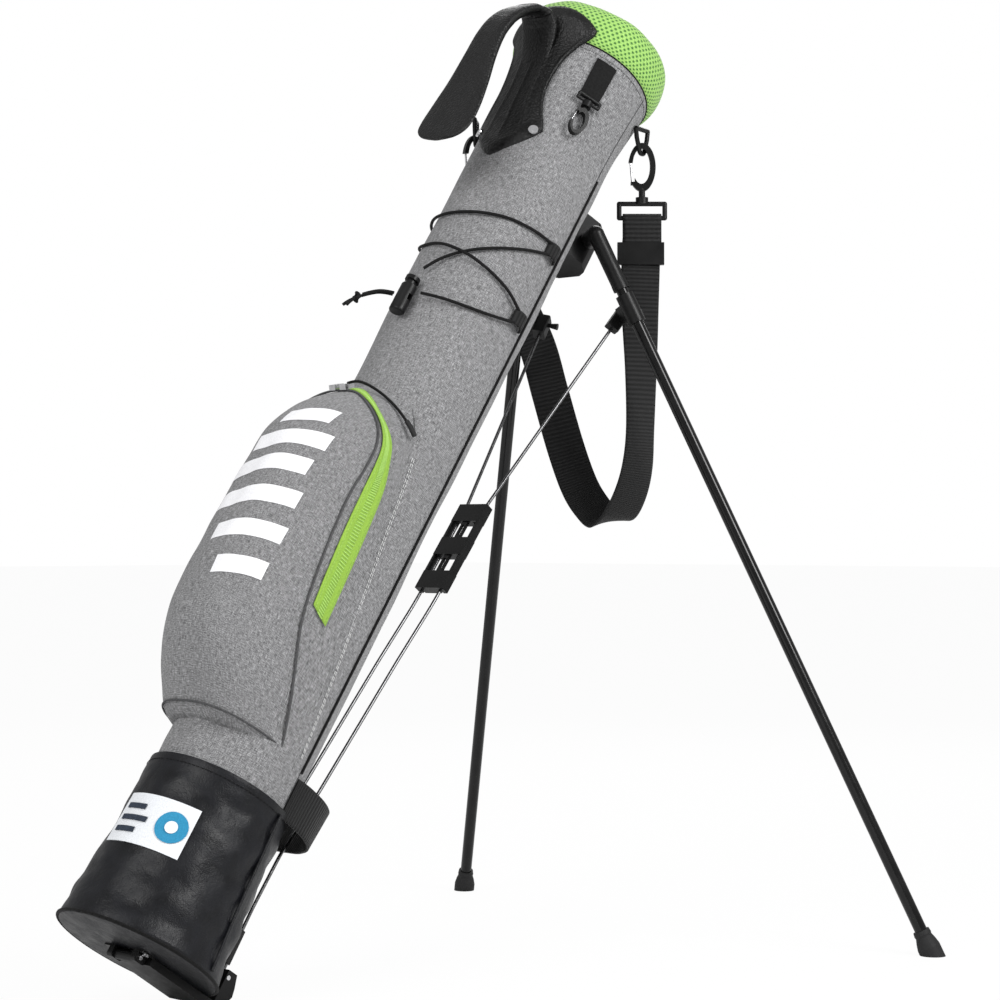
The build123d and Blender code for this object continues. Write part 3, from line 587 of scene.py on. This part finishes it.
def boot_point(u, v):
    r, s = spline(BOOT, v)
    angle = 360 * u - 180
    a = math.radians(angle)
    wall = max(0.0, min(1.0, (s - 2) / 14, (150 - s) / 18))
    label = 1 - math.exp(-(((angle - 16) / 34) ** 4) - ((s - 89) / 28) ** 4)
    slack = noise.noise(Vector((1.3 * math.sin(a), 1.3 * math.cos(a), s / 24 + 0.5 * math.sin(2 * a))))
    fold = noise.noise(Vector((3.2 * math.sin(a) + 3, 3.2 * math.cos(a), s / 15)))
    depth = wall * label * (2.6 * slack + 1.3 * fold - 0.6)
    groove = 0.9 * math.exp(-(((abs(angle) - 107) / 1.3) ** 2)) * wall
    return around(max(0.5, r + min(depth, 1.4) - groove), angle, s)


boot = surface("boot_leather", lambda u, v: boot_point(1 - u, v), 200, 130, LEATHER, (0.45, 0.25), wrap=True)
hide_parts("boot_front", "boot_back", "bottom_panel")
BOOT_SEAM = [(4, 73.2), (50, 69.8), (90, 67.9), (150, 65.9)]


def boot_seam(u, hand):
    s = 4 + 144 * u
    return around(smooth(BOOT_SEAM, s)[0] + 0.5, 109.5 * hand, s)


for hand in (-1, 1):
    seam = dense(lambda u: boot_seam(u, hand), 60)
    line(f"boot_piping_{'left' if hand < 0 else 'right'}", seam, 1.5, LEATHER)
stitches("boot_hem", dense(lambda u: around(66.0, 360 * u, 146.5), 1400), 2.8, 1.4, 0.3, CORD)


# Label: a plain ring and three bars on the patch
def label_face(name, outline, lift, skin):
    points = [world(around(67.9 + lift + 0.045 * (112 - s), a, s)) for a, s in outline]
    return mesh_piece(name, points, [tuple(range(len(points)))], skin)


def disc(centre, radius, count=28):
    turns = [2 * math.pi * i / count for i in range(count)]
    return [(centre[0] + radius * math.cos(a) * 0.86, centre[1] + radius * math.sin(a)) for a in turns]


label_face("label_disc", disc((35, 89), 14), 0.25, LABEL_BLUE)
label_face("label_dot", disc((35, 89), 5.5), 0.5, LABEL)
for k, (low, wide) in enumerate(((97, 20), (86, 26), (75, 20))):
    across = [-11 + wide * i / 8 for i in range(9)]
    outline = [(a, low) for a in across] + [(a, low + 5) for a in across[::-1]]
    label_face(f"label_bar_{k}", outline, 0.35, LABEL_DARK)


# Pocket
POCKET = [
    (188, 48, 57), (190, 54, 67), (193, 58, 74), (199, 60.5, 81), (208, 62, 88), (228, 65, 104),
    (258, 67.5, 119), (300, 67.5, 125.5), (360, 66.5, 126.5), (420, 65, 125), (458, 63, 121),
    (488, 58.5, 109), (513, 52, 89), (533, 46, 68), (547, 42, 56),
]
ROOT = [(188, 104), (228, 99), (306, 89), (400, 77), (503, 64), (530, 50), (547, 30)]
POWER = 2.6


def pocket_at(t, s):
    w, d = smooth(POCKET, s)
    c, sn = math.cos(math.radians(t)), math.sin(math.radians(t))
    x = w * math.copysign(abs(c) ** (2 / POWER), c)
    e = -d * max(sn, 0.0) ** (2 / POWER)
    return x, e


def puffed(x, e, s, side):
    """The stuffed, slightly dented face of the pocket."""
    broad = noise.noise(Vector((x / 34, s / 52, 3.0)))
    fine = noise.noise(Vector((x / 15, s / 26, 8.0)))
    puff = min(1.3 * broad + 0.6 * fine - 0.7, 0.25)
    return (x * (1 + 0.010 * puff), e * (1 + 0.014 * puff * side), s)


def pocket_point(u, v):
    s = 188 + 359 * v
    root = smooth(ROOT, s)[0]
    edge = 0.07
    if u < edge or u > 1 - edge:
        side = 1 if u < edge else -1
        t = (u if u < edge else 1 - u) / edge
        rx, re, _ = around(tube_radius(s) - 0.6, root, s)
        px, pe = pocket_at(13, s)
        k = t * t * (3 - 2 * t)
        return (side * (rx + (px - rx) * k), re + (pe - re) * t, s)
    t = 13 + 154 * (u - edge) / (1 - 2 * edge)
    x, e = pocket_at(t, s)
    return puffed(x, e, s, math.sin(math.radians(t)))


pocket = surface("pocket_fabric", lambda u, v: pocket_point(1 - u, v), 150, 150, MELANGE, (0.36, 0.359))
thicken(pocket, 1.6, -1.0)
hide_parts("pocket", "zip_tape")


EDGE = [
    (0, 3, 194), (1, 12, 250), (2, 19, 294), (3, 22.5, 338), (4, 24.5, 378), (5, 25.5, 418),
    (6, 24.5, 448), (7, 26, 474), (8, 33, 492), (9, 47, 505), (10, 67, 515), (11, 90, 519),
]


def pocket_edge(t, hand=1):
    """The pocket's front edge: up the side and round the arch to the middle."""
    angle, s = smooth(EDGE, 11 * t)
    if hand < 0:
        angle += (90 - angle) * 0.38 * max(0.0, min(1.0, (s - 330) / 110))
    x, e = pocket_at(angle, s)
    return Vector((hand * x, e, s))


def pushed(p, out):
    """Moves a point outwards from the pocket's middle line."""
    d = Vector((p[0], p[1] + 30, 0)).normalized()
    return p + d * out


front_edge = [pushed(pocket_edge(k / 160, 1), 1.0) for k in range(161)]
front_edge += [pushed(pocket_edge(k / 160, -1), 1.0) for k in range(159, -1, -1)]
line("pocket_piping", [tuple(p) for p in front_edge], 1.1, GREY_THREAD)
hem = [tuple(pushed(Vector((*pocket_at(174 * k / 90 + 3, 196), 196)), 0.5)) for k in range(91)]
line("pocket_hem", hem, 0.9, GREY_THREAD)


OUTER = [
    (0, 9.0, 303), (1, 9.5, 345), (2, 10.5, 395), (3, 12, 438), (4, 15, 463), (5, 19, 482), (6, 26, 494),
    (7, 38, 505), (8, 56, 517), (9, 78, 526), (10, 100, 527),
]
INNER = [
    (0, 18.5, 313), (1, 20, 350), (2, 21.3, 392), (3, 21.8, 432), (4, 22, 456), (5, 24, 476), (6, 30, 491),
    (7, 41.5, 503), (8, 58, 512), (9, 79, 519), (10, 100, 519),
]


def zip_rail(t, across):
    """A point across the zip: 0 at the piping and 1 at the outer edge."""
    a, b = smooth(INNER, 10 * t), smooth(OUTER, 10 * t)
    angle, s = (a[c] + (b[c] - a[c]) * (0.1 + 0.9 * across) for c in (0, 1))
    x, e = pocket_at(angle, s)
    return pushed(Vector((x, e, s)), 1.0)


zip_band = surface("zip_tape_lime", lambda u, v: tuple(zip_rail(v, u)), 8, 160, ZIP, (0.017, 0.25))
thicken(zip_band, 0.8, 1.0)
teeth_points, teeth_faces = [], []
for k in range(150):
    t = k / 150
    a, b = (world(pushed(zip_rail(t, across), 1.0)) for across in (0.38, 0.66))
    add_dash(teeth_points, teeth_faces, a, b, 0.00075)
mesh_piece("zip_teeth", teeth_points, teeth_faces, ZIP_COIL)
for k, across in enumerate((0.16, 0.92)):
    row = [tuple(pushed(zip_rail(i / 1200, across), 1.05)) for i in range(1200)]
    stitches(f"zip_stitch_{k}", row, 2.2, 1.1, 0.25, ZIP_COIL)

for k, off in enumerate((6.0, 9.0)):
    def seam_path(u, off=off):
        s = 200 + 290 * u
        root = smooth(ROOT, s)[0]
        rx, re, _ = around(tube_radius(s), root + off * 0.55, s)
        return (rx * 1.003, re, s)
    stitches(f"root_stitch_{k}", dense(seam_path, 1300), 3.2, 2.0, 0.34)


def on_pocket(x, s, lift):
    w, d = smooth(POCKET, s)
    rise = max(0.0, 1 - (min(abs(x), w * 0.97) / w) ** POWER) ** (1 / POWER)
    return pushed(Vector(puffed(x, -d * rise, s, rise ** (POWER / 2))), lift)


def print_shape(name, corners, skin=PRINT, steps=10):
    """A four-cornered print that follows the pocket's front."""
    a, b, c, d = (Vector((*p, 0)) for p in corners)

    def spot(u, v):
        p = (a * (1 - u) + b * u) * (1 - v) + (d * (1 - u) + c * u) * v
        return tuple(on_pocket(p.x, p.y, 0.45))
    return surface(name, spot, 2 * steps, steps, skin, (0.03, 0.03))


PRINTS = [(-6, 456, 44), (-20, 424, 66), (-34, 392, 78), (-26, 360, 74), (-8, 328, 58), (12, 296, 38)]
PRINT_TALL = 17
for k, (x, s, wide) in enumerate(PRINTS):
    far = s + 0.22 * wide
    corners = [(x, s), (x + wide, far), (x + wide, far + PRINT_TALL), (x, s + PRINT_TALL)]
    print_shape(f"pocket_print_{k}", corners)


# Handle
# The plate's half width in degrees and its outer radius, by distance along the bag
PLATE = [
    (812, 38, 66), (852, 37.5, 66.5), (875, 29, 68.5), (897, 24.5, 70), (930, 26.5, 72.5), (953, 34, 74.6),
    (966, 41, 78.6), (975, 41.5, 81.0), (985, 40, 82.0), (994, 38, 81.6),
]
TURN = 6.0


def plate_point(u, v):
    across = 2 * u - 1
    low, high = 814 + 38 * abs(across) ** 1.45, 993 - 20 * abs(across) ** 2.4
    s = low + (high - low) * v
    half, r = smooth(PLATE, s)
    rib = sum(1.3 * math.exp(-(((across - at) / 0.055) ** 2)) for at in (-0.42, 0.02, 0.46))
    along = math.sin(math.pi * min(1, max(0, (s - 832) / 118))) ** 0.7
    dish = 2.0 * math.exp(-((across / 0.62) ** 2)) * math.exp(-(((s - 905) / 42) ** 2))
    rim = min(1 - abs(across), 0.9 * v, 0.9 * (1 - v))
    lip = 1.1 * math.exp(-(((rim - 0.07) / 0.035) ** 2))
    r += rib * along - dish + lip - 3.0 * max(0, 1 - rim / 0.035) ** 2
    return around(r, TURN + half * across, s)


plate = thicken(surface("handle_plate_skin", plate_point, 84, 96, PEBBLED, (0.07, 0.18)), 2.8, -1.0)
subdivide(plate)
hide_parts("handle_plate")
GRIP = [
    (-67.5, 922, 30, 3), (-73.5, 944, 37, 7), (-82.0, 961, 41, 12), (-93.0, 968, 38, 12.5),
    (-106.0, 963, 34, 11), (-119.0, 948, 33, 11), (-128.5, 928, 33, 12), (-132.5, 905, 34, 12.5),
    (-131.5, 878, 39, 12), (-129.0, 848, 49, 11), (-128.4, 820, 59, 9.5), (-129.0, 799, 63, 8),
    (-130.0, 786, 58, 7), (-130.8, 778, 40, 5), (-131.0, 775, 14, 3),
]


def grip_point(u, v):
    e, s, wide, thick = spline(GRIP, v)
    before, _, after, _ = near_rows(GRIP, v)[0]
    de = 0.5 * (after[0] - before[0] + 0.01)
    ds = 0.5 * (after[1] - before[1] + 0.01)
    size = math.hypot(de, ds)
    ne, ns = ds / size, -de / size
    a = 2 * math.pi * u
    ca, sa = math.cos(a), math.sin(a)
    x = wide / 2 * math.copysign(abs(ca) ** 0.7, ca)
    h = thick / 2 * math.copysign(abs(sa) ** 0.8, sa)
    h += -1.5 * (1 - (2 * x / max(wide, 1)) ** 2) * (1 if 0.3 < v < 0.92 else 0.3)
    b = math.radians(TURN)
    px, pe = x, e + ne * h
    return (px * math.cos(b) - pe * math.sin(b), px * math.sin(b) + pe * math.cos(b), s + ns * h)


grip = surface("handle_grip_skin", grip_point, 36, 110, PEBBLED, (0.09, 0.33), wrap=True, ends=True)
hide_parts("handle_grip")

# Small webbing loops that hold the bungee on the side seams
loops = []
for hand in (-1, 1):
    for s0 in (749, 668):
        def tab_point(u, v, hand=hand, s0=s0):
            rise = 5.6 * math.sin(math.pi * v) ** 0.6
            return around(tube_radius(s0) + 0.4 + rise, hand * (94 + 15 * v), s0 + 15 * (u - 0.5) * hand)
        tab = surface(f"cord_loop_{len(loops)}", tab_point, 6, 20, WEB, (0.015, 0.02))
        loops.append(thicken(tab, 1.2, -1.0))
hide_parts("cord_tabs")

# Shoulder strap: a webbing ribbon. Each row has a point of its middle line, in millimetres in the shared
# frame, and the direction across the webbing there.
STRAP = [
    (52.5, 503.5, 704.6, 0.71, 0.70, 0), (52.5, 503.5, 690, 0.71, 0.70, 0), (52.2, 502.0, 670, 0.71, 0.70, 0),
    (52, 501, 620, 0.50, 0.86, 0), (52, 502, 560, 0.20, 0.98, 0), (51, 502, 500, 0.05, 1.0, 0),
    (48, 501, 462, 0.15, 0.98, 0), (40, 499, 434, 0.30, 0.95, 0.05), (26, 498, 414, 0.45, 0.88, 0.10),
    (8, 498, 410, 0.60, 0.80, 0.15), (-8, 497, 422, 0.66, 0.73, 0.18), (-25, 496, 444, 0.70, 0.70, 0.18),
    (-46, 498, 484, 0.70, 0.70, 0.18), (-72, 503, 540, 0.70, 0.70, 0.16), (-91, 503, 590, 0.65, 0.74, 0.10),
    (-100, 478, 640, 0.50, 0.85, 0.0), (-93, 438, 682, 0.45, 0.89, 0.0), (-76, 401, 712, 0.34, 0.94, 0.0),
]


def strap_mid(v):
    row = spline(STRAP, v)
    return Vector(row[:3]), Vector(row[3:])


def strap_point(u, v):
    here, wide = strap_mid(v)
    ahead = strap_mid(min(1, v + 0.004))[0] - strap_mid(max(0, v - 0.004))[0]
    ahead.normalize()
    wide = (wide - ahead * wide.dot(ahead)).normalized()
    cup = ahead.cross(wide) * 0.7 * math.cos(math.pi * (u - 0.5))
    return tuple((here + wide * 38.0 * (u - 0.5) + cup) / 1000)


strap = thicken(surface("strap_webbing", strap_point, 14, 260, WEB, (0.038, 0.76), shared=True), 2.0, 0.0)
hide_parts("shoulder_strap")
RIGHT_FRAME, LEFT_FRAME = Vector((52.5, 503.5, 707.4)), Vector((-76.0, 400.0, 718.4))
for hand, centre, face in (("right", RIGHT_FRAME, 44.6), ("left", LEFT_FRAME, 70.0)):
    a = math.radians(face)
    wide, out = Vector((math.cos(a), math.sin(a), 0)), Vector((-math.sin(a), math.cos(a), 0))

    def loop_point(u, v, wide=wide, out=out, centre=centre):
        if u < 0.36:
            y, z = -3.4 + 0.9 * (0.36 - u), -34 + 34 * u / 0.36
        elif u > 0.64:
            y, z = 3.4 - 0.9 * (u - 0.64), -34 * (u - 0.64) / 0.36
        else:
            b = math.pi * (u - 0.36) / 0.28
            y, z = -3.4 * math.cos(b), 3.4 * math.sin(b)
        return tuple((centre + wide * 38.0 * (v - 0.5) + out * y + Vector((0, 0, z))) / 1000)
    size = (0.038, 0.07)
    fold = surface(f"strap_fold_{hand}", lambda u, v: loop_point(v, u), 10, 50, WEB, size, shared=True)
    thicken(fold, 1.8, 0.0)


# Webbing loop round the rods
KEEP = [(56.5, 27.0), (57.5, 42.0), (52.0, 66.0), (38.0, 86.0), (17.0, 96.5), (0, 98.0)]
KEEP += [(-x, e) for x, e in KEEP[-2::-1]]


def keeper_point(u, v):
    x, e = spline(KEEP, v)
    lean = 4.0 * math.sin(math.pi * v) * (u - 0.5)
    return (x, e + lean, 147 + 38 * u)


keeper = thicken(surface("keeper_webbing", keeper_point, 12, 90, WEB, (0.038, 0.22)), 2.0, 0.0)
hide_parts("rod_keeper")

# Zip pull cord on the right slider
PULL = [
    (9.5, -87.0, 524.0), (17.0, -86.0, 528.0), (26.0, -77.0, 529.0), (36.0, -64.0, 526.5),
    (46.0, -52.0, 520.5), (54.0, -42.0, 513.0), (59.5, -34.0, 506.5),
]
pull = line("zip_pull_cord", PULL, 1.3, CORD, body="zip_pull_right", nurbs=True)
GRASP = [PULL[-2], (57.5, -38.0, 509.5), (61.0, -31.5, 503.5)]
grasp = line("zip_pull_end", GRASP, 2.3, RUBBER, body="zip_pull_right")


# Studio
def studio():
    floor = bpy.data.objects.new("floor", bpy.data.meshes.new("floor"))
    floor.data.from_pydata([(-30, -30, 0), (30, -30, 0), (30, 30, 0), (-30, 30, 0)], [], [(0, 1, 2, 3)])
    bpy.context.collection.objects.link(floor)
    skin, floor_tree, shader = material("floor_pale", (0.8, 0.8, 0.8), 0.9, spec=0.0)
    glow = node(floor_tree, "ShaderNodeEmission", Strength=1.0)
    mix = node(floor_tree, "ShaderNodeMixShader")
    seen = node(floor_tree, "ShaderNodeLightPath")
    share = math_node(floor_tree, "MULTIPLY", seen.outputs["Is Camera Ray"], 0.95)
    link(floor_tree, share, mix.inputs[0])
    link(floor_tree, shader.outputs[0], mix.inputs[1])
    link(floor_tree, glow.outputs[0], mix.inputs[2])
    link(floor_tree, mix.outputs[0], floor_tree.nodes["Material Output"].inputs["Surface"])
    floor.data.materials.append(skin)
    sky = bpy.data.worlds.new("sky")
    sky.use_nodes = True
    sky.node_tree.nodes["Background"].inputs["Color"].default_value = (1, 1, 1, 1)
    tree = sky.node_tree
    soft_sky = tree.nodes["Background"]
    soft_sky.inputs["Strength"].default_value = 0.5
    seen = tree.nodes.new("ShaderNodeBackground")
    seen.inputs["Color"].default_value = (1, 1, 1, 1)
    choose = tree.nodes.new("ShaderNodeMixShader")
    path = tree.nodes.new("ShaderNodeLightPath")
    tree.links.new(path.outputs["Is Camera Ray"], choose.inputs[0])
    tree.links.new(soft_sky.outputs[0], choose.inputs[1])
    tree.links.new(seen.outputs[0], choose.inputs[2])
    tree.links.new(choose.outputs[0], tree.nodes["World Output"].inputs["Surface"])
    bpy.context.scene.world = sky
    for name, place, aim, size, power in (
        ("key", (0.4, -2.3, 2.2), (0, 0.3, 0.4), 1.6, 50),
        ("side", (2.3, 0.5, 1.6), (0, 0.3, 0.5), 1.1, 52),
        ("back", (-1.2, 2.2, 1.8), (0, 0.3, 0.5), 1.4, 22),
    ):
        lamp = bpy.data.objects.new(name, bpy.data.lights.new(name, "AREA"))
        bpy.context.collection.objects.link(lamp)
        lamp.location = place
        lamp.rotation_euler = (Vector(aim) - Vector(place)).to_track_quat("-Z", "Y").to_euler()
        lamp.data.size = size
        lamp.data.energy = power
    bpy.context.scene.view_settings.view_transform = "Standard"


studio()
